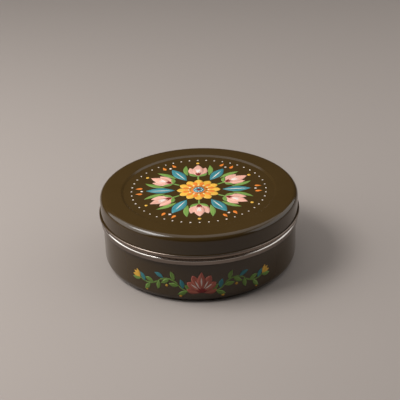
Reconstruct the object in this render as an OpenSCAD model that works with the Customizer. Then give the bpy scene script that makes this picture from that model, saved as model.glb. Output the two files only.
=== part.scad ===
// Round steel spice box: a drawn container, a push-on lid, seven loose cups and a spoon.
// The origin is at the middle of the base, +Z is up and -Y is the front. Sizes are in millimetres.
// Every shell is one steel sheet: the section of the bent sheet is drawn once and turned about Z.

/* [Box] */
// Outside diameter of the lid's skirt
lid_d = 200; // [180:1:240]
// Height of the closed box
box_h = 74; // [70:1:100]
// Thickness of the steel sheet of the container and the lid
sheet_t = 0.7; // [0.5:0.05:0.9]

/* [Lid] */
// Depth of the lid, from its top down to its rolled edge
skirt_h = 22.7; // [18:0.2:30]
// Outside radius of the corner between the lid's top and its skirt
lid_corner_r = 5.6; // [4:0.2:8]
// Diameter of the flat sunken panel in the lid's top
panel_d = 152; // [100:1:160]
// Depth of the sunken panel
panel_depth = 1.3; // [0.6:0.1:2]
// Width of the slope round the sunken panel
panel_slope_w = 3; // [2:0.5:6]
// Height of the lid's rolled edge
roll_h = 3.6; // [3.2:0.1:6]
// How far the rolled edge stands out of the skirt
roll_out = 1.7; // [1.4:0.1:2.2]
// Slit left between the end of the rolled edge and the skirt
roll_slit = 0.2; // [0.15:0.05:0.4]

/* [Container] */
// Room between the lid and the container's rim
lid_fit = 0.3; // [0.2:0.05:0.6]
// Outside radius of the corner round the base
base_corner_r = 9; // [5:0.5:14]
// Height of the flat face of the bead pressed out of the wall
bead_flat = 3.4; // [1:0.2:6]
// Height of the round shoulder above and below that face
bead_shoulder = 2.5; // [2.2:0.1:4]
// How far the bead stands out of the wall
bead_out = 2; // [1.4:0.1:2.4]
// Height of the gap between the bead and the lid's rolled edge
bead_gap = 1; // [0.6:0.1:4]
// Length of the sheet folded down outside the rim
fold_h = 4; // [2:0.5:8]
// Slit inside the fold of the rim
fold_slit = 0.2; // [0.15:0.05:0.4]

/* [Cups] */
// Height of a cup
cup_h = 48; // [36:1:54]
// Thickness of a cup's sheet
cup_t = 0.5; // [0.4:0.05:0.7]
// Room between neighbouring cups
cup_room = 1; // [0.6:0.1:3]
// Room between the outer cups and the container's wall
wall_room = 6; // [2:0.5:10]
// Outside radius of the corner round a cup's base
cup_corner_r = 6; // [4:0.5:9]
// Slope of a cup's wall from upright, in degrees
cup_slope = 2; // [0.5:0.5:4]
// Diameter of the roll along a cup's rim
cup_roll_d = 2.4; // [1.8:0.1:3]

/* [Spoon] */
// Length of the spoon
spoon_l = 82; // [78:1:86]
// Thickness of the spoon
spoon_t = 1; // [0.8:0.1:1.4]
// Diameter of the spoon's bowl
bowl_d = 24; // [20:1:28]
// Depth of the spoon's bowl
bowl_depth = 7; // [5:0.5:9]
// Width of the handle at the bowl
neck_w = 4.6; // [3.6:0.2:6]
// Width of the handle near its end
handle_w = 7; // [5:0.2:7.4]
// Angle at which the arched handle leaves the bowl, in degrees
handle_arch = 8; // [3:1:12]
// Distance of the bowl's middle from the edge of the cup's floor
bowl_inset = 7; // [6:0.5:9]
// Room between the spoon and the cup that it leans in
spoon_room = 0.3; // [0.2:0.05:0.6]

/* [Hidden] */
$fn = 96;
// Largest turn between two points of a bend, in degrees, and how far their chord may leave the arc
bend_step = 10;
bend_sag = 0.02;

// Cups in the ring, one for each side of the middle cup, and the angle between them
ring_count = 6;
ring_step = 360 / ring_count;
ring_names = [for (i = [1:ring_count]) str("ring_cup_", i)];

paint_colour = "#44321a";
steel_colour = "#c9c8c4";

// Middle radii of the sheets, from the lid inwards
lid_mid_r = lid_d / 2 - sheet_t / 2;
rim_fold_r = (sheet_t + fold_slit) / 2;
wall_mid_r = lid_mid_r - sheet_t - lid_fit - 2 * rim_fold_r;
inner_r = wall_mid_r - sheet_t / 2;

// Heights that the lid sets for the container
lid_edge_z = box_h - skirt_h;
bead_z = lid_edge_z - bead_gap - bead_shoulder - bead_flat / 2;
rim_turn_z = box_h - lid_corner_r;

// Cups: three radii, the gap between cups and the room at the wall fill the container's inside radius
cup_r = (inner_r - cup_room - wall_room) / 3;
cup_pitch = 2 * cup_r + cup_room;
cup_corner_mid_r = cup_corner_r - cup_t / 2;
cup_roll_r = (cup_roll_d - cup_t) / 2;
cup_roll_at = [cup_r - cup_roll_d / 2, cup_h - cup_roll_d / 2];
cup_top = cup_roll_at - cup_roll_r * [cos(cup_slope), -sin(cup_slope)];
cup_corner_z = cup_t / 2 + cup_corner_mid_r;
cup_wall_foot_z = cup_corner_z - cup_corner_mid_r * sin(cup_slope);
cup_wall_foot_r = cup_top.x - (cup_top.y - cup_wall_foot_z) * tan(cup_slope);
cup_floor_r = cup_wall_foot_r - cup_corner_mid_r * cos(cup_slope);
// A rolled rim ends this far past its outermost point, so that its cut edge points back at the wall
roll_end = -60;

// Spoon: the bowl is part of a sphere, and the handle is an arc that ends level with the bowl's rim
bowl_mid_r = bowl_d / 2 - spoon_t / 2;
sphere_r = (bowl_mid_r ^ 2 + bowl_depth ^ 2) / (2 * bowl_depth);
sphere_z = sphere_r - bowl_depth;
bowl_angle = atan2(bowl_mid_r, sphere_z);
handle_chord = spoon_l - bowl_d / 2 - bowl_mid_r;
handle_r = handle_chord / (2 * sin(handle_arch));
handle_at = [bowl_mid_r + handle_chord / 2, -handle_r * cos(handle_arch)];

// Where the spoon lies in its cup: the sphere's middle stands off the floor, and the handle rests on
// the roll of the rim, so the triangle of sphere, roll and handle arc gives the angle of lean
sphere_at = [-(cup_floor_r - bowl_inset), cup_t + spoon_room + sphere_r + spoon_t / 2];
to_roll = cup_roll_at - sphere_at;
to_handle = handle_at - [0, sphere_z];
roll_reach = handle_r - spoon_t / 2 - spoon_room - cup_roll_d / 2;
corner_cos = (to_roll * to_roll + to_handle * to_handle - roll_reach ^ 2)
  / (2 * norm(to_roll) * norm(to_handle));
spoon_lean = atan2(to_roll.y, to_roll.x) - atan2(to_handle.y, to_handle.x) - acos(corner_cos);
// The handle points into the gap between two outer cups
spoon_turn = -ring_step / 2;

// The section of a bent sheet. Its middle line is a chain of cut ends, [point, heading], and bends,
// [middle, radius, from angle, to angle, joined], with straight stretches between them. A bend that is
// joined starts where the last one stopped.
function side_of_end(end, side, t) = [end[0] + side * t / 2 * [-sin(end[1]), cos(end[1])]];
function side_of_bend(bend, side, t) =
  let (
    sweep = bend[3] - bend[2],
    steps = ceil(abs(sweep) / min(bend_step, 2 * acos(1 - bend_sag / (bend[1] + t / 2)))),
    r = bend[1] - side * sign(sweep) * t / 2,
    first = bend[4] ? 1 : 0
  )
  [for (i = [first:steps]) let (a = bend[2] + sweep * i / steps) bend[0] + r * [cos(a), sin(a)]];
function side_of_sheet(chain, side, t) =
  [for (link = chain) each len(link) == 2 ? side_of_end(link, side, t) : side_of_bend(link, side, t)];
function reversed(list) = [for (i = [len(list) - 1:-1:0]) list[i]];

module sheet_section(chain, t) {
  polygon(concat(side_of_sheet(chain, 1, t), reversed(side_of_sheet(chain, -1, t))));
}

// Two bends that step a sheet sideways by rise over a length run: their common radius and angle
function step_angle(rise, run) = 2 * atan2(rise, run);
function step_r(rise, run) = run / (2 * sin(step_angle(rise, run)));

module container_section() {
  corner_r = base_corner_r - sheet_t / 2;
  corner_at = [wall_mid_r - corner_r, sheet_t / 2 + corner_r];
  angle = step_angle(bead_out, bead_shoulder);
  r = step_r(bead_out, bead_shoulder);
  flat_low = bead_z - bead_flat / 2;
  flat_high = bead_z + bead_flat / 2;
  sheet_section([
    [[0, sheet_t / 2], 0],
    [corner_at, corner_r, -90, 0, false],
    [[wall_mid_r + r, flat_low - bead_shoulder], r, 180, 180 - angle, false],
    [[wall_mid_r + bead_out - r, flat_low], r, -angle, 0, true],
    [[wall_mid_r + bead_out - r, flat_high], r, 0, angle, false],
    [[wall_mid_r + r, flat_high + bead_shoulder], r, 180 + angle, 180, true],
    [[wall_mid_r + rim_fold_r, rim_turn_z], rim_fold_r, 180, 0, false],
    [[wall_mid_r + 2 * rim_fold_r, rim_turn_z - fold_h], -90]
  ], sheet_t);
}

module lid_section() {
  top_z = box_h - sheet_t / 2;
  panel_z = top_z - panel_depth;
  angle = step_angle(panel_depth, panel_slope_w);
  r = step_r(panel_depth, panel_slope_w);
  corner_r = lid_corner_r - sheet_t / 2;
  roll_r = roll_out / 2;
  roll_mid_r = lid_mid_r + roll_r;
  roll_outside_r = roll_r + sheet_t / 2;
  closing = acos((sheet_t / 2 + roll_slit - roll_r) / roll_outside_r);
  sheet_section([
    [[0, panel_z], 0],
    [[panel_d / 2, panel_z + r], r, -90, angle - 90, false],
    [[panel_d / 2 + panel_slope_w, top_z - r], r, 90 + angle, 90, true],
    [[lid_mid_r - corner_r, top_z - corner_r], corner_r, 90, 0, false],
    [[roll_mid_r, lid_edge_z + roll_outside_r], roll_r, 180, 360, false],
    [[roll_mid_r, lid_edge_z + roll_h - roll_outside_r], roll_r, 0, closing, false]
  ], sheet_t);
}

module cup_section() {
  sheet_section([
    [[0, cup_t / 2], 0],
    [[cup_floor_r, cup_corner_z], cup_corner_mid_r, -90, -cup_slope, false],
    [cup_roll_at, cup_roll_r, 180 - cup_slope, roll_end, false]
  ], cup_t);
}

module container() {
  color(paint_colour) rotate_extrude() container_section();
}

module lid() {
  color(paint_colour) rotate_extrude() lid_section();
}

module cup() {
  color(steel_colour) rotate_extrude() cup_section();
}

module centre_cup() {
  translate([0, 0, sheet_t]) cup();
}

module ring_cup(index) {
  angle = index * ring_step;
  translate([cup_pitch * cos(angle), cup_pitch * sin(angle), sheet_t]) cup();
}

// The handle seen from above, from the bowl to its round end
module handle_outline() {
  end_x = bowl_mid_r + handle_chord - handle_w / 2;
  polygon([
    [bowl_mid_r, -neck_w / 2],
    [end_x, -handle_w / 2],
    [end_x, handle_w / 2],
    [bowl_mid_r, neck_w / 2]
  ]);
  translate([end_x, 0]) circle(handle_w / 2);
}

// The spoon level, with the middle of its bowl's rim at the origin
module level_spoon() {
  depth = 2 * handle_r;
  bowl_bend = [[0, sphere_z], sphere_r, -90, bowl_angle - 90, false];
  handle_bend = [handle_at, handle_r, 90 + handle_arch, 90 - handle_arch, false];
  rotate_extrude() sheet_section([bowl_bend], spoon_t);
  intersection() {
    translate([0, handle_w, 0]) rotate([90, 0, 0]) linear_extrude(2 * handle_w)
      sheet_section([handle_bend], spoon_t);
    translate([0, 0, -depth / 2]) linear_extrude(depth) handle_outline();
  }
}

module spoon() {
  color(steel_colour)
    rotate([0, 0, spoon_turn])
      translate([sphere_at.x, 0, sheet_t + sphere_at.y])
        rotate([0, -spoon_lean, 0])
          translate([0, 0, -sphere_z])
            level_spoon();
}

container();
lid();
centre_cup();
spoon();
for (i = [0:ring_count - 1]) {
  ring_cup(i);
}
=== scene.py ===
# %% [markdown]
# # A painted steel spice box
# The object is a round kitchen box pressed from thin steel sheet: a container, a push-on lid, seven cups
# and a spoon. The outside is sprayed with dark olive enamel and decorated by brush, and the rolled edges
# are left bare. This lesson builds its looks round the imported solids: the enamel and the steel first, then
# the sheet-metal shells and the spoon, then the brush marks, and last the studio.

# %% Load the solids
import math
import random

import bmesh
import bpy
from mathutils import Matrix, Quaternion, Vector


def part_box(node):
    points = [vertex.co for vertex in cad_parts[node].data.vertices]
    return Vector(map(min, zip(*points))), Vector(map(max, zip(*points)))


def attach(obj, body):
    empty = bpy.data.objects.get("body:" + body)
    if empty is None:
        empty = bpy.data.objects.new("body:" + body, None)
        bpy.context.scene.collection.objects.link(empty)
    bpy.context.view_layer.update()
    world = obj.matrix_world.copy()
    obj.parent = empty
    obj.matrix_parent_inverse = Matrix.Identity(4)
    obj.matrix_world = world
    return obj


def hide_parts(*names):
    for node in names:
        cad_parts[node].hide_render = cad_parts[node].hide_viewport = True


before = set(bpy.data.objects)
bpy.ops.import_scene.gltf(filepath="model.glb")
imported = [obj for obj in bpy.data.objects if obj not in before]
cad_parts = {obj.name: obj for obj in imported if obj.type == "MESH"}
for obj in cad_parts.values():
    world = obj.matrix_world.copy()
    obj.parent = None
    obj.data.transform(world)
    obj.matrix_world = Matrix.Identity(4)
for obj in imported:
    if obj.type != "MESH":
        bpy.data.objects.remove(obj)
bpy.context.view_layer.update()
MM = 0.001
print("solids:", ", ".join(sorted(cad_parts)))

# %% [markdown]
# ## Camera
# The photograph looks down on the box from about 29 degrees, from a little over a metre away and through a
# long lens, and it leans a little to one side. A longer lens from further off would give the same picture
# size with weaker perspective, and the near half of the lid would look hardly larger than the far half. So
# the distance and the lens are set together.

# %% Camera
CAMERA_AT = Vector((0, -1018, 601)) * MM
CAMERA_AIMS_AT = Vector((1.0, 0, 61)) * MM
CAMERA_LEAN = math.radians(-1.74)
CAMERA_LENS = 102.1

camera_data = bpy.data.cameras.new("camera")
camera_data.lens = CAMERA_LENS
camera = bpy.data.objects.new("camera", camera_data)
camera.location = CAMERA_AT
camera.rotation_mode = "QUATERNION"
looking = (CAMERA_AIMS_AT - CAMERA_AT).to_track_quat("-Z", "Y")
camera.rotation_quaternion = looking @ Quaternion((0, 0, 1), CAMERA_LEAN)
bpy.context.collection.objects.link(camera)
bpy.context.scene.camera = camera
print("camera", round((CAMERA_AIMS_AT - CAMERA_AT).length, 3), "m from the box")

# %% [markdown]
# ## Helpers for materials
# Paint charts give sRGB hex values, while shaders work in linear light, so one function turns hex to linear
# by the sRGB curve. A second one adds a node: its settings are node properties or unlinked sockets, and its
# links are sockets. A Mix node has a set of sockets for each kind of data, all with the same few names, so
# its colour sockets are picked by number, and the numbers get names here.

# %% Helpers for materials
MIX_SHARE = 0
MIX_FROM = 6
MIX_TO = 7
MIX_COLOUR = 2


def colour(hex_code):
    parts = [int(hex_code[i:i + 2], 16) / 255 for i in (1, 3, 5)]
    linear = [p / 12.92 if p <= 0.04045 else ((p + 0.055) / 1.055) ** 2.4 for p in parts]
    return (*linear, 1.0)


def add(tree, kind, settings=None, links=None):
    node = tree.nodes.new(kind)
    for name, value in (settings or {}).items():
        if isinstance(name, int) or name in node.inputs:
            node.inputs[name].default_value = value
        else:
            setattr(node, name, value)
    for name, source in (links or {}).items():
        tree.links.new(source, node.inputs[name])
    return node


def new_material(name):
    material = bpy.data.materials.new(name)
    material.use_nodes = True
    tree = material.node_tree
    return material, tree, tree.nodes["Principled BSDF"]


print("white is", colour("#ffffff"))

# %% [markdown]
# ## Sprayed enamel
# The outside has a sprayed coat of dark olive enamel, baked on in an oven. Baked enamel is pigment in a
# clear, hard binder, so its IOR is the binder's, and it mirrors lamps in their own colour. Sprayed paint
# flows into a faint orange-peel skin about a millimetre across, which breaks up the edge of a reflection,
# and its film is never quite even, so its tone and its gloss drift a little over a few centimetres. Both
# are noise on Object coordinates, at those sizes.

# %% Sprayed enamel
ENAMEL = "#423116"
ENAMEL_THIN = "#49371c"
ENAMEL_IOR = 1.54
ENAMEL_GLOSSIEST = 0.1
ENAMEL_DULLEST = 0.2
FILM_DRIFT = 34 * MM
ORANGE_PEEL = 1.4 * MM
PEEL_HEIGHT = 0.05 * MM
PEEL_STRENGTH = 0.06

enamel, tree, shader = new_material("satin_enamel_olive")
where = add(tree, "ShaderNodeTexCoord")
drift = add(tree, "ShaderNodeTexNoise", {"Scale": 1 / FILM_DRIFT, "Detail": 3.0},
            {"Vector": where.outputs["Object"]})
film = add(tree, "ShaderNodeMix",
           {"data_type": "RGBA", MIX_FROM: colour(ENAMEL), MIX_TO: colour(ENAMEL_THIN)},
           {MIX_SHARE: drift.outputs["Fac"]})
gloss = add(tree, "ShaderNodeMapRange", {"To Min": ENAMEL_GLOSSIEST, "To Max": ENAMEL_DULLEST},
            {"Value": drift.outputs["Fac"]})
peel = add(tree, "ShaderNodeTexNoise", {"Scale": 1 / ORANGE_PEEL, "Detail": 1.0},
           {"Vector": where.outputs["Object"]})
skin = add(tree, "ShaderNodeBump", {"Strength": PEEL_STRENGTH, "Distance": PEEL_HEIGHT},
           {"Height": peel.outputs["Fac"]})
shader.inputs["IOR"].default_value = ENAMEL_IOR
tree.links.new(film.outputs[MIX_COLOUR], shader.inputs["Base Color"])
tree.links.new(gloss.outputs["Result"], shader.inputs["Roughness"])
tree.links.new(skin.outputs["Normal"], shader.inputs["Normal"])
print("made", enamel.name)

# %% [markdown]
# ## Turned stainless steel
# The bare steel was polished while the piece turned, so fine rings run round its axis. Every turned piece
# stores its own radius and height in a UV map called turned, and noise on that map gives rings that follow
# the piece wherever it stands. The rings are drawn about half a millimetre apart, coarser than real ones,
# so that they show, and smears of up to two centimetres change the tone.
#
# One function makes three finishes. Polished steel gives sharp white streaks. The face of the lid's roll
# is rougher, and its colour is painted browner and darker, a painted reflection of a dark brown table. The
# face of the bead is painted darker too, a painted reflection of a dark table, but still mirrors.

# %% Turned stainless steel
RING_SPACING = 0.5 * MM
GROOVE_DEPTH = 0.02 * MM
GROOVE_STRENGTH = 0.08
SMEAR = 18 * MM


def turned_steel(name, bright, dull, smoothest, roughest):
    metal, tree, shader = new_material(name)
    where = add(tree, "ShaderNodeTexCoord")
    turned = add(tree, "ShaderNodeUVMap", {"uv_map": "turned"})
    rings = add(tree, "ShaderNodeTexNoise",
                {"noise_dimensions": "2D", "Scale": 1 / RING_SPACING, "Detail": 2.0},
                {"Vector": turned.outputs["UV"]})
    smear = add(tree, "ShaderNodeTexNoise", {"Scale": 1 / SMEAR, "Detail": 4.0},
                {"Vector": where.outputs["Object"]})
    tone = add(tree, "ShaderNodeMix",
               {"data_type": "RGBA", MIX_FROM: colour(dull), MIX_TO: colour(bright)},
               {MIX_SHARE: smear.outputs["Fac"]})
    polish = add(tree, "ShaderNodeMapRange", {"To Min": smoothest, "To Max": roughest},
                 {"Value": rings.outputs["Fac"]})
    grooves = add(tree, "ShaderNodeBump", {"Strength": GROOVE_STRENGTH, "Distance": GROOVE_DEPTH},
                  {"Height": rings.outputs["Fac"]})
    shader.inputs["Metallic"].default_value = 1.0
    tree.links.new(tone.outputs[MIX_COLOUR], shader.inputs["Base Color"])
    tree.links.new(polish.outputs["Result"], shader.inputs["Roughness"])
    tree.links.new(grooves.outputs["Normal"], shader.inputs["Normal"])
    return metal


polished_steel = turned_steel("turned_stainless_steel", bright="#e1dcd6", dull="#cfc9c2",
                              smoothest=0.07, roughest=0.18)
# The roll's steel is painted browner and darker: a painted reflection of a dark brown table.
roll_steel_painted_reflection = turned_steel("stainless_steel_painted_reflection_roll", bright="#8f8176", dull="#796b61",
                           smoothest=0.18, roughest=0.34)
# The bead face's steel is painted darker: a painted reflection of a dark table.
bead_steel_painted_reflection = turned_steel("stainless_steel_painted_reflection_bead", bright="#8a7f77", dull="#776c64",
                           smoothest=0.1, roughest=0.22)
print("made", polished_steel.name, roll_steel_painted_reflection.name, bead_steel_painted_reflection.name)

# %% [markdown]
# ## A shell as a bent sheet
# A drawn steel shell has one thickness everywhere, so the easy way to model it is as a sheet. The middle
# line of its section is drawn with one vertex: extruding it makes a straight stretch, and spinning it about
# the middle of a bend makes the bend. Where the sheet steps from one level to another, it bends, runs
# straight and bends back, and the angle follows from the places of the two bends, as for a belt that
# crosses between two pulleys. Spinning the whole line about the upright axis makes the shell.

# %% Line of a sheet
BEND_STEP = math.radians(7)
FEWEST_BEND_STEPS = 4
MERGE_WITHIN = 0.001 * MM


def straight_to(bm, end, r, z):
    made = bmesh.ops.extrude_vert_indiv(bm, verts=[end])
    made["verts"][0].co = (r, 0, z)
    return made["verts"][0]


def bend(bm, end, middle, degrees):
    angle = math.radians(degrees)
    steps = max(FEWEST_BEND_STEPS, math.ceil(abs(angle) / BEND_STEP))
    made = bmesh.ops.spin(bm, geom=[end], cent=(middle[0], 0, middle[1]), axis=(0, -1, 0), angle=angle,
                          steps=steps)
    return next(item for item in made["geom_last"] if isinstance(item, bmesh.types.BMVert))


def step_angle(step, run, radius):
    bends_apart = Vector((step - 2 * radius, run))
    return math.atan2(*bends_apart) + math.asin(2 * radius / bends_apart.length)


def height_of(face):
    return face.calc_center_median().z


def turn_line(bm, steps, outside):
    line = bm.verts[:] + bm.edges[:]
    bmesh.ops.spin(bm, geom=line, cent=(0, 0, 0), axis=(0, 0, 1), angle=math.tau, steps=steps,
                   use_merge=True)
    bmesh.ops.remove_doubles(bm, verts=bm.verts[:], dist=MERGE_WITHIN)
    bmesh.ops.recalc_face_normals(bm, faces=bm.faces[:])
    outermost = max(bm.faces, key=height_of) if outside == "above" else min(bm.faces, key=height_of)
    looks_up = outermost.normal.z > 0
    if looks_up != (outside == "above"):
        bmesh.ops.reverse_faces(bm, faces=bm.faces[:])
    turned_map = bm.loops.layers.uv.new("turned")
    for face in bm.faces:
        for loop in face.loops:
            loop[turned_map].uv = (loop.vert.co.xy.length, loop.vert.co.z)


print("a right angle is bent in", math.ceil(math.radians(90) / BEND_STEP), "steps")

# %% [markdown]
# ## From a line to a piece
# A finished mesh becomes an object that rides on its body. A Solidify modifier then gives the sheet its
# thickness, half to each side, and a small Bevel rounds its cut edges. Solidify's material offset puts the
# sheet's other side on the next material slot. So paint can lie on one side only, and a list of finishes
# holds each outside followed by the inside that belongs to it.

# %% Piece and thickness
CUT_EDGE = 0.05 * MM
CUT_EDGE_STEPS = 2
SHARP_ANGLE = math.radians(50)


def finish_piece(name, bm, body, materials):
    mesh = bpy.data.meshes.new(name)
    bm.to_mesh(mesh)
    bm.free()
    mesh.shade_smooth()
    piece = bpy.data.objects.new(name, mesh)
    bpy.context.collection.objects.link(piece)
    for material in materials:
        mesh.materials.append(material)
    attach(piece, body)
    print("made", name, len(mesh.polygons), "faces")
    return piece


def give_thickness(piece, thickness):
    sheet = piece.modifiers.new("sheet", "SOLIDIFY")
    sheet.thickness = thickness
    sheet.offset = 0
    sheet.use_even_offset = True
    sheet.material_offset = 1
    sheet.material_offset_rim = 1
    edges = piece.modifiers.new("cut_edges", "BEVEL")
    edges.width = CUT_EDGE
    edges.segments = CUT_EDGE_STEPS
    edges.limit_method = "ANGLE"
    edges.angle_limit = SHARP_ANGLE
    edges.material = -1


print("cut edges are rounded by", round(CUT_EDGE / MM, 2), "mm")

# %% [markdown]
# ## Container: its section
# The container is a drawn bowl. Going up its wall, the sheet turns the base corner, slopes out to a
# flat-faced bead that stiffens the wall, slopes back in to the neck, and folds over at the rim so that no
# sharp edge is left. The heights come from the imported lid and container, so the bead stays just below the
# lid's edge.

# %% Container section
SHEET = 0.7 * MM
BEAD_OUT = 2.0 * MM
BEAD_FLAT = 3.4 * MM
BEAD_SHOULDER = 2.5 * MM
SHOULDER_BEND = 0.9 * MM
BEAD_GAP = 1.0 * MM
BASE_CORNER = 9.0 * MM
FOLD_SLIT = 0.2 * MM
FOLD_H = 4.0 * MM

lid_low, lid_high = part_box("lid")
container_low, container_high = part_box("container")
wall_r = container_high.x - BEAD_OUT
wall_mid = wall_r - SHEET / 2
floor_z = container_low.z + SHEET / 2
corner_bend = BASE_CORNER - SHEET / 2
fold_bend = (SHEET + FOLD_SLIT) / 2
fold_z = container_high.z - fold_bend - SHEET / 2

bead_high_z = lid_low.z - BEAD_GAP
flat_high_z = bead_high_z - BEAD_SHOULDER
flat_low_z = flat_high_z - BEAD_FLAT
bead_low_z = flat_low_z - BEAD_SHOULDER
shoulder_angle = step_angle(BEAD_OUT, BEAD_SHOULDER, SHOULDER_BEND)
shoulder_degrees = math.degrees(shoulder_angle)
slope_r = SHOULDER_BEND * math.cos(shoulder_angle)
slope_z = SHOULDER_BEND * math.sin(shoulder_angle)
neck_bend_r = wall_mid + SHOULDER_BEND
face_bend_r = wall_mid + BEAD_OUT - SHOULDER_BEND
print("the bead's shoulders turn by", round(shoulder_degrees, 1), "degrees")

# %% [markdown]
# ## Container: its shell
# The line starts on the axis, in the middle of the floor, and goes out and up. Paint covers the wall from
# the edge of the flat underside up to the bead's face. The bead and the neck stay bare, because the lid
# would scrape paint off them, and so does the underside. Only the bead's flat face gets darker steel, a
# painted reflection of a dark table, so its upper shoulder stays bright and draws a white streak.

# %% Container shell
SHELL_STEPS = 192
PAINT_STARTS_ABOVE = 0.01 * MM
CONTAINER_FINISHES = [enamel, polished_steel, polished_steel, bead_steel_painted_reflection, polished_steel]
PAINTED_WALL = 0
BARE_WALL = 1
# The bead's flat face, whose steel is painted darker as a painted reflection of a dark table.
BEAD_FACE_PAINTED_REFLECTION = 3

bm = bmesh.new()
end = bm.verts.new((0, 0, floor_z))
end = straight_to(bm, end, wall_mid - corner_bend, floor_z)
end = bend(bm, end, (wall_mid - corner_bend, floor_z + corner_bend), 90)
end = straight_to(bm, end, wall_mid, bead_low_z)
end = bend(bm, end, (neck_bend_r, bead_low_z), -shoulder_degrees)
end = straight_to(bm, end, face_bend_r + slope_r, flat_low_z - slope_z)
end = bend(bm, end, (face_bend_r, flat_low_z), shoulder_degrees)
end = straight_to(bm, end, wall_mid + BEAD_OUT, flat_high_z)
end = bend(bm, end, (face_bend_r, flat_high_z), shoulder_degrees)
end = straight_to(bm, end, neck_bend_r - slope_r, bead_high_z - slope_z)
end = bend(bm, end, (neck_bend_r, bead_high_z), -shoulder_degrees)
end = straight_to(bm, end, wall_mid, fold_z)
end = bend(bm, end, (wall_mid + fold_bend, fold_z), -180)
straight_to(bm, end, wall_mid + 2 * fold_bend, fold_z - FOLD_H)
turn_line(bm, SHELL_STEPS, outside="below")

for face in bm.faces:
    face_z = height_of(face)
    if floor_z + PAINT_STARTS_ABOVE < face_z < flat_low_z:
        face.material_index = PAINTED_WALL
    elif flat_low_z < face_z < flat_high_z:
        face.material_index = BEAD_FACE_PAINTED_REFLECTION
    else:
        face.material_index = BARE_WALL
container = finish_piece("container_shell", bm, "container", CONTAINER_FINISHES)
give_thickness(container, SHEET)
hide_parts("container")

# %% [markdown]
# ## Lid: its section
# The lid starts at the middle of its sunken panel, climbs a short straight slope between two tight bends to
# the flat ring that another box can stand on, turns the round corner and runs down the skirt. Its edge is
# rolled outwards and back up to the skirt.

# %% Lid section
ROLL_OUT = 1.7 * MM
ROLL_H = 3.6 * MM
ROLL_CLOSING = 104
LID_CORNER = 5.6 * MM
PANEL_R = 76.0 * MM
PANEL_DEPTH = 1.3 * MM
PANEL_SLOPE = 3.0 * MM
PANEL_BEND = 1.2 * MM

lid_mid = lid_high.x - ROLL_OUT - SHEET / 2
lid_bend = LID_CORNER - SHEET / 2
top_mid_z = lid_high.z - SHEET / 2
panel_top_z = lid_high.z - PANEL_DEPTH
panel_mid_z = top_mid_z - PANEL_DEPTH
slope_angle = step_angle(PANEL_DEPTH, PANEL_SLOPE, PANEL_BEND)
slope_degrees = math.degrees(slope_angle)
ring_starts_r = PANEL_R + PANEL_SLOPE
slope_end_r = ring_starts_r - PANEL_BEND * math.sin(slope_angle)
slope_end_z = top_mid_z - PANEL_BEND * (1 - math.cos(slope_angle))
roll_bend = ROLL_OUT / 2
roll_low_z = lid_low.z + roll_bend + SHEET / 2
roll_high_z = lid_low.z + ROLL_H - roll_bend - SHEET / 2
print("the panel's slope climbs at", round(slope_degrees, 1), "degrees")

# %% [markdown]
# ## Lid: its shell
# The spray reaches the top of the roll, and the roll's face is bare. On the roll the sheet has turned over,
# so what shows there is the sheet's other side, which has the next slot: a bare face shows steel that is
# painted browner and darker as a painted reflection, and a face at the top of the roll shows enamel.

# %% Lid shell
ROLL_PAINTED = 0.5 * MM
LID_FINISHES = [enamel, polished_steel, roll_steel_painted_reflection, enamel]
PAINTED_TOP = 0
BARE_ROLL = 1
PAINTED_ROLL = 2

bm = bmesh.new()
end = bm.verts.new((0, 0, panel_mid_z))
end = straight_to(bm, end, PANEL_R, panel_mid_z)
end = bend(bm, end, (PANEL_R, panel_mid_z + PANEL_BEND), slope_degrees)
end = straight_to(bm, end, slope_end_r, slope_end_z)
end = bend(bm, end, (ring_starts_r, top_mid_z - PANEL_BEND), -slope_degrees)
end = straight_to(bm, end, lid_mid - lid_bend, top_mid_z)
end = bend(bm, end, (lid_mid - lid_bend, top_mid_z - lid_bend), -90)
end = straight_to(bm, end, lid_mid, roll_low_z)
end = bend(bm, end, (lid_mid + roll_bend, roll_low_z), 180)
end = straight_to(bm, end, lid_mid + ROLL_OUT, roll_high_z)
bend(bm, end, (lid_mid + roll_bend, roll_high_z), ROLL_CLOSING)
turn_line(bm, SHELL_STEPS, outside="above")

paint_edge_z = lid_low.z + ROLL_H - ROLL_PAINTED
for face in bm.faces:
    middle = face.calc_center_median()
    if middle.z <= paint_edge_z:
        face.material_index = BARE_ROLL
    elif middle.xy.length > lid_mid + SHEET / 2:
        face.material_index = PAINTED_ROLL
    else:
        face.material_index = PAINTED_TOP
lid = finish_piece("lid_shell", bm, "lid", LID_FINISHES)
give_thickness(lid, SHEET)
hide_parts("lid")

# %% [markdown]
# ## Cups
# The seven cups are alike: a flat floor, a round corner, a wall that leans out a little so that they nest,
# and a rim rolled outwards. One function makes a cup at the origin and moves its mesh to where the packed
# cup stands.

# %% Cups
CUP_SHEET = 0.5 * MM
CUP_CORNER = 6.0 * MM
CUP_SLOPE = 2
CUP_ROLL = 2.4 * MM
CUP_ROLL_END = -60
CUP_STEPS = 96


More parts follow.
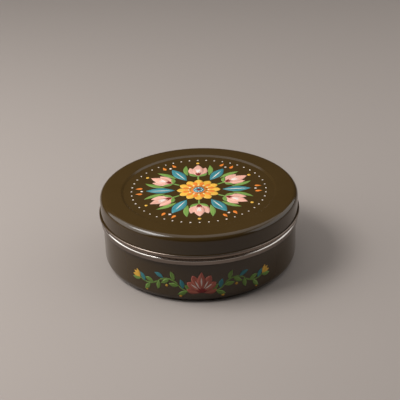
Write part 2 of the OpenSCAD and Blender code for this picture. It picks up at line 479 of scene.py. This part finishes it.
def make_cup(node):
    low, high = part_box(node)
    cup_r = (high.x - low.x) / 2
    cup_h = high.z - low.z
    roll = (CUP_ROLL - CUP_SHEET) / 2
    roll_at = (cup_r - CUP_ROLL / 2, cup_h - CUP_ROLL / 2)
    lean = math.radians(CUP_SLOPE)
    corner = CUP_CORNER - CUP_SHEET / 2
    corner_z = CUP_SHEET / 2 + corner
    wall_top = (roll_at[0] - roll * math.cos(lean), roll_at[1] + roll * math.sin(lean))
    foot_z = corner_z - corner * math.sin(lean)
    foot_r = wall_top[0] - (wall_top[1] - foot_z) * math.tan(lean)
    floor_r = foot_r - corner * math.cos(lean)
    bm = bmesh.new()
    end = bm.verts.new((0, 0, CUP_SHEET / 2))
    end = straight_to(bm, end, floor_r, CUP_SHEET / 2)
    end = bend(bm, end, (floor_r, corner_z), 90 - CUP_SLOPE)
    end = straight_to(bm, end, *wall_top)
    bend(bm, end, roll_at, CUP_ROLL_END - 180 + CUP_SLOPE)
    turn_line(bm, CUP_STEPS, outside="below")
    place = Vector(((low.x + high.x) / 2, (low.y + high.y) / 2, low.z))
    bmesh.ops.translate(bm, verts=bm.verts[:], vec=place)
    cup = finish_piece(node + "_shell", bm, node, [polished_steel, polished_steel])
    give_thickness(cup, CUP_SHEET)
    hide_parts(node)


for node in sorted(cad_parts):
    if "cup" in node:
        make_cup(node)

# %% [markdown]
# ## Spoon
# The spoon is stamped from sheet and brushed along its handle, so its marks run the long way and not round
# an axis, and it looks duller than the cups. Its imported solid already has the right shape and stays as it
# is. Only its finish is new: noise that a Mapping node turns along the leaning handle and stretches into
# streaks.

# %% Spoon
SPOON_TURN = math.radians(-30)
SPOON_LEAN = math.radians(44)
BRUSHED_BRIGHT = "#c4beb7"
BRUSHED_DULL = "#a49e97"
BRUSHED_SMOOTHEST = 0.26
BRUSHED_ROUGHEST = 0.5
SCRATCH_LENGTH = 22 * MM
SCRATCH_WIDTH = 0.45 * MM
SCRATCH_DEPTH = 0.03 * MM
SCRATCH_STRENGTH = 0.25

brushed_steel, tree, shader = new_material("brushed_stainless_steel")
where = add(tree, "ShaderNodeTexCoord")
along_handle = add(tree, "ShaderNodeMapping",
                   {"vector_type": "TEXTURE", "Rotation": (0, -SPOON_LEAN, SPOON_TURN),
                    "Scale": (SCRATCH_LENGTH, SCRATCH_WIDTH, SCRATCH_WIDTH)},
                   {"Vector": where.outputs["Object"]})
streaks = add(tree, "ShaderNodeTexNoise", {"Scale": 1.0, "Detail": 3.0},
              {"Vector": along_handle.outputs["Vector"]})
tone = add(tree, "ShaderNodeMix",
           {"data_type": "RGBA", MIX_FROM: colour(BRUSHED_DULL), MIX_TO: colour(BRUSHED_BRIGHT)},
           {MIX_SHARE: streaks.outputs["Fac"]})
polish = add(tree, "ShaderNodeMapRange", {"To Min": BRUSHED_SMOOTHEST, "To Max": BRUSHED_ROUGHEST},
             {"Value": streaks.outputs["Fac"]})
scratches = add(tree, "ShaderNodeBump", {"Strength": SCRATCH_STRENGTH, "Distance": SCRATCH_DEPTH},
                {"Height": streaks.outputs["Fac"]})
shader.inputs["Metallic"].default_value = 1.0
tree.links.new(tone.outputs[MIX_COLOUR], shader.inputs["Base Color"])
tree.links.new(polish.outputs["Result"], shader.inputs["Roughness"])
tree.links.new(scratches.outputs["Normal"], shader.inputs["Normal"])

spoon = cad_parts["spoon"]
spoon.data.materials.clear()
spoon.data.materials.append(brushed_steel)
print("brushed the spoon,", len(spoon.data.polygons), "faces")

# %% [markdown]
# ## Brush paint
# The decoration is put on by hand with thick acrylic colour, which dries duller than the enamel. The
# bristles of a brush leave fine streaks along each stroke, and no two strokes have quite the same tone.
# Each mark stores how far along and across its stroke a point lies in a UV map called stroke, so the
# streaks follow every petal, and a number from 0 to 1 called mark, which gives each stroke its own tone
# and, as a fourth dimension of the noise, its own streaks. The streaks are drawn about half a millimetre
# wide, a little coarser than real ones.

# %% Brush paint
BRISTLE = 0.6 * MM
STREAK_LENGTH = 16 * MM
STREAK_STARTS = 0.4
STREAK_FULL = 0.72
STROKES_APART = 60.0
DARKEST_STROKE = 0.88
LIGHTEST_STROKE = 1.05
RIDGE_HEIGHT = 0.05 * MM
RIDGE_STRENGTH = 0.3
ACRYLIC_ROUGHNESS = 0.45
ACRYLIC_IOR = 1.47


def brush_paint(name, body_colour, streak_colour):
    paint, tree, shader = new_material(name)
    stroke = add(tree, "ShaderNodeUVMap", {"uv_map": "stroke"})
    mark = add(tree, "ShaderNodeAttribute", {"attribute_name": "mark"})
    stretch = add(tree, "ShaderNodeMapping", {"Scale": (1 / STREAK_LENGTH, 1 / BRISTLE, 1)},
                  {"Vector": stroke.outputs["UV"]})
    shuffle = add(tree, "ShaderNodeMath", {"operation": "MULTIPLY", 1: STROKES_APART},
                  {0: mark.outputs["Fac"]})
    bristles = add(tree, "ShaderNodeTexNoise", {"noise_dimensions": "4D", "Scale": 1.0, "Detail": 2.0},
                   {"Vector": stretch.outputs["Vector"], "W": shuffle.outputs["Value"]})
    share = add(tree, "ShaderNodeMapRange", {"From Min": STREAK_STARTS, "From Max": STREAK_FULL},
                {"Value": bristles.outputs["Fac"]})
    streaked = add(tree, "ShaderNodeMix",
                   {"data_type": "RGBA", MIX_FROM: colour(body_colour), MIX_TO: colour(streak_colour)},
                   {MIX_SHARE: share.outputs["Result"]})
    tone = add(tree, "ShaderNodeMapRange", {"To Min": DARKEST_STROKE, "To Max": LIGHTEST_STROKE},
               {"Value": mark.outputs["Fac"]})
    toned = add(tree, "ShaderNodeHueSaturation", {},
                {"Color": streaked.outputs[MIX_COLOUR], "Value": tone.outputs["Result"]})
    ridges = add(tree, "ShaderNodeBump", {"Strength": RIDGE_STRENGTH, "Distance": RIDGE_HEIGHT},
                 {"Height": bristles.outputs["Fac"]})
    shader.inputs["Roughness"].default_value = ACRYLIC_ROUGHNESS
    shader.inputs["IOR"].default_value = ACRYLIC_IOR
    tree.links.new(toned.outputs["Color"], shader.inputs["Base Color"])
    tree.links.new(ridges.outputs["Normal"], shader.inputs["Normal"])
    return paint


PAINTS = {
    "pink": brush_paint("brushed_acrylic_pink", "#f0ab96", "#f8cdb8"),
    # The lotus on the wall is a deeper pink than the lid's: partly a colour of its own, partly painted
    # shade.
    "brick": brush_paint("brushed_acrylic_deep_pink_and_painted_shade", "#b85c4c", "#d98a74"),
    "maroon": brush_paint("brushed_acrylic_maroon", "#7a1218", "#8f2a24"),
    "yellow": brush_paint("brushed_acrylic_yellow", "#f5b83d", "#fbcb5c"),
    "orange": brush_paint("brushed_acrylic_orange", "#f0802a", "#f59a3c"),
    "green": brush_paint("brushed_acrylic_green", "#6d9440", "#93b45c"),
    "teal": brush_paint("brushed_acrylic_teal", "#2f7f8a", "#5fa9ae"),
    "cream": brush_paint("brushed_acrylic_cream", "#fbefe6", "#f3e2d2"),
}
print("mixed", ", ".join(PAINTS))

# %% [markdown]
# ## Shapes of a stroke
# A brush that is pressed and lifted leaves a line whose width swells and narrows. Each shape here gives the
# width as a share of the widest, from 0 at the start of the stroke to 1 at its end: a petal is widest near
# its tip, a drop near its start, a leaf in the middle, and a vine is even until it thins at its end.


# %% Shapes of a stroke
def petal_shape(t):
    return math.sin(math.pi * t ** 1.5) ** 0.7


def leaf_shape(t):
    return math.sin(math.pi * t)


def drop_shape(t):
    return math.sin(math.pi * (1 - t) ** 1.6) ** 0.8


def vine_shape(t):
    return min(1.0, 20 * t, 4 * (1 - t) + 0.3)


def dot_shape(t):
    return math.sqrt(max(0.0, 1 - (2 * t - 1) ** 2))


print("halfway along, a petal has", round(petal_shape(0.5), 2), "of its full width")

# %% [markdown]
# ## Surfaces to paint on
# A design is drawn flat, in x and y, and one function for each body says where a flat point lies on the
# metal. On the lid that is the sunken panel. On the container x runs round the wall from its front and y is
# the height above the table.


# %% Surfaces to paint on
def on_lid(x, y, height):
    return Vector((x, y, panel_top_z + height))


def on_side(x, y, height):
    angle = x / wall_r
    return Vector(((wall_r + height) * math.sin(angle), -(wall_r + height) * math.cos(angle), y))


SURFACES = {"lid": on_lid, "container": on_side}
print("ready to paint on", ", ".join(SURFACES))

# %% [markdown]
# ## One brush mark
# A grid is the natural start for a stroke, because its rows run along it and its columns across. Extruding
# the grid closes it to a thin solid, and then each vertex is moved to its place: along an arc, out from it
# by the width at that point, and up from the metal by the thickness of the paint. Marks painted later lie
# on a higher layer, so they cover earlier ones. Each mark also gets a little thickness of its own, so that
# no two marks share an edge. A seeded random hand makes every run paint the same.

# %% Brush mark
PAINT_SINK = 0.05 * MM
PAINT_EDGE = 0.03 * MM
PAINT_CROWN = 0.05 * MM
PAINT_LAYER = 0.07 * MM
PAINT_VARIES = 0.04 * MM
MARK_ROWS = 10
MARK_COLUMNS = 4
DOT_ROWS = 6
DOT_COLUMNS = 2
STRAIGHT_ENOUGH = 1e-6

hand = random.Random(12)
marks = {}


def along(start, heading, length, curl, t):
    first = math.radians(heading)
    turn = math.radians(curl) * t
    reach = length * t
    if abs(turn) > STRAIGHT_ENOUGH:
        reach = 2 * reach / turn * math.sin(turn / 2)
    middle = first + turn / 2
    x = start[0] + reach * math.cos(middle)
    y = start[1] + reach * math.sin(middle)
    return x, y, math.degrees(first + turn)


def paint_mark(body, paint, shape, start, heading, length, width, curl=0.0, layer=0, rows=MARK_ROWS,
               columns=MARK_COLUMNS):
    if (body, paint) not in marks:
        marks[body, paint] = bmesh.new()
    bm = marks[body, paint]
    stroke_map = bm.loops.layers.uv.get("stroke") or bm.loops.layers.uv.new("stroke")
    mark_value = bm.verts.layers.float.get("mark") or bm.verts.layers.float.new("mark")
    under = bmesh.ops.create_grid(bm, x_segments=rows, y_segments=columns, size=0.5)["verts"]
    faces = list({face for vert in under for face in vert.link_faces})
    extruded = bmesh.ops.extrude_face_region(bm, geom=faces)["geom"]
    over = [item for item in extruded if isinstance(item, bmesh.types.BMVert)]
    value = hand.random()
    thicker = value * PAINT_VARIES
    stroke_at = {}
    for vert in under + over:
        t = min(1.0, max(0.0, vert.co.x + 0.5))
        swell = shape(t)
        across = 2 * vert.co.y
        side = across * swell * width / 2
        if vert in over:
            crown = PAINT_CROWN * (1 - across ** 2) * min(1.0, 2 * swell)
            height = PAINT_EDGE + layer * PAINT_LAYER + crown + thicker
        else:
            height = -PAINT_SINK - thicker
        x, y, way = along(start, heading, length, curl, t)
        x -= side * math.sin(math.radians(way))
        y += side * math.cos(math.radians(way))
        vert.co = SURFACES[body](x * MM, y * MM, height)
        vert[mark_value] = value
        stroke_at[vert] = (t * length * MM, side * MM)
    for face in {face for vert in stroke_at for face in vert.link_faces}:
        for loop in face.loops:
            loop[stroke_map].uv = stroke_at[loop.vert]


def paint_dot(body, paint, middle, diameter, layer=0):
    start = (middle[0] - diameter / 2, middle[1])
    paint_mark(body, paint, dot_shape, start, 0, diameter, diameter, layer=layer, rows=DOT_ROWS,
               columns=DOT_COLUMNS)


print("a mark is at least", round((PAINT_EDGE + PAINT_CROWN) / MM, 2), "mm thick in its middle")

# %% [markdown]
# ## Rosette on the lid: the sunburst
# The lid carries a round folk pattern, in millimetres from the middle of the panel. Radial patterns are
# easy to paint in code, because one function turns a mark to any angle. The hand wobbles a little in
# direction and in size, so that no petal is an exact copy. In the middle is a sunburst of two rings of
# petals round an eye.

# %% Sunburst
HAND_TURN = 1.5
HAND_STRETCH = 0.04
HAND_DOT = 0.1
SUN_PETALS = 12
EYE_DOTS = 8
LID_MIDDLE = (0, 0)


def round_the_middle(radius, angle):
    return radius * math.cos(math.radians(angle)), radius * math.sin(math.radians(angle))


def turned_mark(paint, shape, radius, angle, length, width, turn=0.0, curl=0.0, layer=0):
    wobble = hand.uniform(-HAND_TURN, HAND_TURN)
    stretch = hand.uniform(1 - HAND_STRETCH, 1 + HAND_STRETCH)
    paint_mark("lid", paint, shape, round_the_middle(radius, angle), angle + turn + wobble, length * stretch,
               width * stretch, curl, layer)


def turned_dot(paint, radius, angle, diameter, layer=0):
    size = diameter * hand.uniform(1 - HAND_DOT, 1 + HAND_DOT)
    paint_dot("lid", paint, round_the_middle(radius, angle), size, layer)


for number in range(SUN_PETALS):
    angle = number * 360 / SUN_PETALS
    between = angle + 180 / SUN_PETALS
    turned_mark("yellow", petal_shape, radius=7, angle=angle, length=15, width=8.6, layer=1)
    turned_mark("orange", petal_shape, radius=8, angle=between, length=9, width=4.6, layer=2)
    turned_dot("cream", radius=10.2, angle=angle, diameter=1.5, layer=3)
paint_dot("lid", "orange", LID_MIDDLE, diameter=17, layer=2)
paint_dot("lid", "teal", LID_MIDDLE, diameter=12, layer=3)
paint_dot("lid", "maroon", LID_MIDDLE, diameter=4.4, layer=4)
for number in range(EYE_DOTS):
    turned_dot("cream", radius=4, angle=number * 360 / EYE_DOTS, diameter=1.3, layer=4)
print("painted a sunburst of", 2 * SUN_PETALS, "petals")

# %% [markdown]
# ## Rosette on the lid: buds, leaves and beads
# Round the sunburst stand six lotus buds on stems and six broad leaves between them. A bud is two curled
# petals with a straight one over them, green sepals below, and fine strokes inside. Around it all runs a
# ring of dots.

# %% Buds, leaves and beads
BUDS = 6
FIRST_BUD = 30
PETAL_SPREAD = 34
STAMEN_SPREAD = 13
BEADS = 48


def paint_bud(bud):
    turned_mark("green", vine_shape, radius=22, angle=bud, length=10, width=1.8)
    for turn in (-PETAL_SPREAD, PETAL_SPREAD):
        turned_mark("pink", leaf_shape, radius=31, angle=bud, length=21, width=9.5, turn=turn,
                    curl=-0.6 * turn, layer=1)
        turned_mark("green", leaf_shape, radius=30, angle=bud, length=12, width=4.6, turn=2.1 * turn,
                    curl=-turn, layer=2)
    turned_mark("pink", leaf_shape, radius=31, angle=bud, length=26, width=11.5, layer=2)
    for turn in (-STAMEN_SPREAD, 0, STAMEN_SPREAD):
        turned_mark("cream", leaf_shape, radius=37, angle=bud, length=10, width=1.5, turn=turn, layer=3)
        turned_mark("maroon", drop_shape, radius=31.5, angle=bud, length=8, width=2.2, turn=1.6 * turn,
                    layer=4)
    turned_dot("yellow", radius=60.5, angle=bud, diameter=3.4)


def paint_broad_leaf(leaf):
    turned_mark("teal", leaf_shape, radius=24, angle=leaf, length=30, width=11.5, layer=1)
    turned_mark("cream", leaf_shape, radius=27, angle=leaf, length=21, width=1.2, layer=2)
    for side in (-1, 1):
        turned_mark("green", leaf_shape, radius=34, angle=leaf + 11 * side, length=24, width=5.6,
                    turn=4 * side, curl=24 * side)
        turned_mark("orange", drop_shape, radius=57, angle=leaf + 6 * side, length=7.5, width=3.6,
                    turn=-10 * side)
    turned_dot("cream", radius=57.5, angle=leaf, diameter=2.6)


for number in range(BUDS):
    bud_angle = number * 360 / BUDS + FIRST_BUD
    paint_bud(bud_angle)
    paint_broad_leaf(bud_angle + 180 / BUDS)
for number in range(BEADS):
    turned_dot("cream", radius=68, angle=number * 360 / BEADS, diameter=1.7)
print("painted the lid with", len([key for key in marks if key[0] == "lid"]), "colours")

# %% [markdown]
# ## Garland on the side: the lotus
# The front of the container has an opened lotus with a vine to each side. It is drawn flat, in millimetres,
# and the mark function bends it round the wall. A side of -1 mirrors a mark to the left, so both halves are
# alike apart from the wobble of the hand. The lotus has three pairs of petals, each pair more upright and
# on top of the last, and one petal in the middle.

# %% Lotus
SIDE_TURN = 2
UPRIGHT = 90
LOTUS_BASE = (0, 12.5)
PETAL_TURN = 26
PETAL_TALLEST = 24
PETAL_SHORTER = 3
VEIN_UP = 4
MIDDLE_VEIN_UP = 7


def side_mark(paint, shape, side, start, heading, length, width, curl=0.0, layer=0):
    heading += hand.uniform(-SIDE_TURN, SIDE_TURN)
    if side < 0:
        start = (-start[0], start[1])
        heading = 180 - heading
        curl = -curl
    paint_mark("container", paint, shape, start, heading, length, width, curl, layer)


for pair in (3, 2, 1):
    turn = PETAL_TURN * pair
    length = PETAL_TALLEST - PETAL_SHORTER * pair
    vein = (VEIN_UP * math.sin(math.radians(turn)), LOTUS_BASE[1] + VEIN_UP)
    for side in (-1, 1):
        # The lotus petals use the deeper pink, which is partly painted shade for the upright wall.
        side_mark("brick", petal_shape, side, LOTUS_BASE, UPRIGHT - turn, length, width=7.5, layer=4 - pair)
        side_mark("cream", leaf_shape, side, vein, UPRIGHT - turn, 0.5 * length, width=1.3, layer=5 - pair)
middle_vein = (LOTUS_BASE[0], LOTUS_BASE[1] + MIDDLE_VEIN_UP)
side_mark("brick", leaf_shape, 1, LOTUS_BASE, UPRIGHT, length=23, width=8.5, layer=4)
side_mark("cream", leaf_shape, 1, middle_vein, UPRIGHT, length=10, width=1.5, layer=5)
for turn in (-60, -30, 0, 30, 60):
    side_mark("maroon", drop_shape, 1, LOTUS_BASE, UPRIGHT - turn, length=6.5, width=2.4, layer=5)
print("painted the lotus from", LOTUS_BASE[1], "mm above the table")

# %% [markdown]
# ## Garland on the side: the vines
# A vine is three arcs that curl up, down and up again, each starting where the last one ended and in the
# same direction. Leaves stand off it to both sides, a yellow berry hangs below each arc, and a small yellow
# bud closes the end.

# %% Vines
VINE_START = (5, 13)
VINE_HEADING = -8
VINE_ARCS = ((20, 62), (24, -100), (22, 84))
VINE_LEAVES = ((0.25, 1, "green"), (0.45, -1, "green"), (0.7, 1, "teal"), (0.95, -1, "green"))
LEAF_TURN = 58
LEAF_CURL = -30
BERRY_AT = 0.6
BERRY_AWAY = 8

for side in (-1, 1):
    place = VINE_START
    way = VINE_HEADING
    for length, curl in VINE_ARCS:
        side_mark("green", vine_shape, side, place, way, length, width=1.5, curl=curl)
        for share, off_side, paint in VINE_LEAVES:
            x, y, heading = along(place, way, length, curl, share)
            side_mark(paint, leaf_shape, side, (x, y), heading + LEAF_TURN * off_side, length=10.5,
                      width=4.6, curl=LEAF_CURL * off_side, layer=1)
        x, y, heading = along(place, way, length, curl, BERRY_AT)
        below = math.radians(heading - 90)
        berry = (side * (x + BERRY_AWAY * math.cos(below)), y + BERRY_AWAY * math.sin(below))
        paint_dot("container", "yellow", berry, diameter=2.8)
        x, y, way = along(place, way, length, curl, 1)
        place = (x, y)
    for turn in (-28, 28, 0):
        side_mark("yellow", leaf_shape, side, place, way + turn, length=9, width=3.8, layer=1)
print("painted the container with", len([key for key in marks if key[0] == "container"]), "colours")

# %% [markdown]
# ## From marks to pieces
# The marks of one colour on one body are a single piece. Where a stroke narrows to nothing, its row of
# vertices lies on one point, so doubles are merged, and then the faces are turned outwards.

# %% Marks to pieces
MARK_MERGE_WITHIN = 0.0005 * MM

for (body, paint), bm in marks.items():
    bmesh.ops.remove_doubles(bm, verts=bm.verts[:], dist=MARK_MERGE_WITHIN)
    bmesh.ops.recalc_face_normals(bm, faces=bm.faces[:])
    finish_piece(f"{body}_decoration_{paint}", bm, body, [PAINTS[paint]])

# %% [markdown]
# ## Floor
# The box stands on plain pale paper, wide enough that no low view shows its edge. The paper is pale to the
# camera and in reflections. Other rays find a darker paper, so that less light bounces up at the walls, and
# the Light Path node tells the rays apart.

# %% Floor
FLOOR_SIZE = 24.0
FLOOR_COLOUR = "#a69c95"
FLOOR_BOUNCE = "#5f524e"
FLOOR_ROUGHNESS = 0.9

floor_mesh = bpy.data.meshes.new("floor")
bm = bmesh.new()
bmesh.ops.create_grid(bm, x_segments=1, y_segments=1, size=FLOOR_SIZE / 2)
bm.to_mesh(floor_mesh)
bm.free()
floor = bpy.data.objects.new("floor", floor_mesh)
bpy.context.collection.objects.link(floor)
floor_material, tree, shader = new_material("floor_paper")
rays = add(tree, "ShaderNodeLightPath")
seen = add(tree, "ShaderNodeMath", {"operation": "ADD"},
           {0: rays.outputs["Is Camera Ray"], 1: rays.outputs["Is Glossy Ray"]})
seen_through = add(tree, "ShaderNodeMath", {"operation": "ADD", "use_clamp": True},
                   {0: seen.outputs["Value"], 1: rays.outputs["Is Transmission Ray"]})
paper = add(tree, "ShaderNodeMix",
            {"data_type": "RGBA", MIX_FROM: colour(FLOOR_BOUNCE), MIX_TO: colour(FLOOR_COLOUR)},
            {MIX_SHARE: seen_through.outputs["Value"]})
tree.links.new(paper.outputs[MIX_COLOUR], shader.inputs["Base Color"])
shader.inputs["Roughness"].default_value = FLOOR_ROUGHNESS
floor_mesh.materials.append(floor_material)
print("laid a floor of", FLOOR_SIZE, "m")

# %% [markdown]
# ## Lamps
# Glossy enamel and steel show the lamps themselves, so each lamp is placed for the highlight that it draws.
# The big lamp above lights the top and, being a little behind, puts a soft line along the lid's round
# corner but no glare on its flat top. A small, hot key lamp to the left draws the brightest part of that
# line. A large lamp at each side draws the white streaks on the bead. Together they light the lid at a
# level at which a colour renders about as it is written.

# %% Lamps
WORLD_COLOUR = "#8a807a"
WORLD_LEVEL = 0.08
LAMPS_AIM_AT = Vector((0, 0, 40)) * MM

world = bpy.data.worlds.new("studio")
world.use_nodes = True
background = world.node_tree.nodes["Background"]
background.inputs["Color"].default_value = colour(WORLD_COLOUR)
background.inputs["Strength"].default_value = WORLD_LEVEL
bpy.context.scene.world = world


def add_lamp(name, at, size, watts):
    data = bpy.data.lights.new(name, "AREA")
    data.shape = "RECTANGLE"
    data.size, data.size_y = size
    data.energy = watts
    lamp = bpy.data.objects.new(name, data)
    lamp.location = at
    lamp.rotation_mode = "QUATERNION"
    lamp.rotation_quaternion = (LAMPS_AIM_AT - Vector(at)).to_track_quat("-Z", "Y")
    bpy.context.collection.objects.link(lamp)


add_lamp("top_lamp", at=(0.0, 0.25, 1.25), size=(1.9, 1.4), watts=7.4)
add_lamp("key_lamp", at=(-0.66, -0.12, 1.0), size=(0.62, 0.44), watts=7.8)
add_lamp("left_lamp", at=(-1.12, 0.0, 0.78), size=(1.5, 1.05), watts=9.8)
add_lamp("right_lamp", at=(1.12, 0.15, 0.6), size=(1.8, 0.9), watts=5.4)
bpy.context.scene.view_settings.view_transform = "Standard"
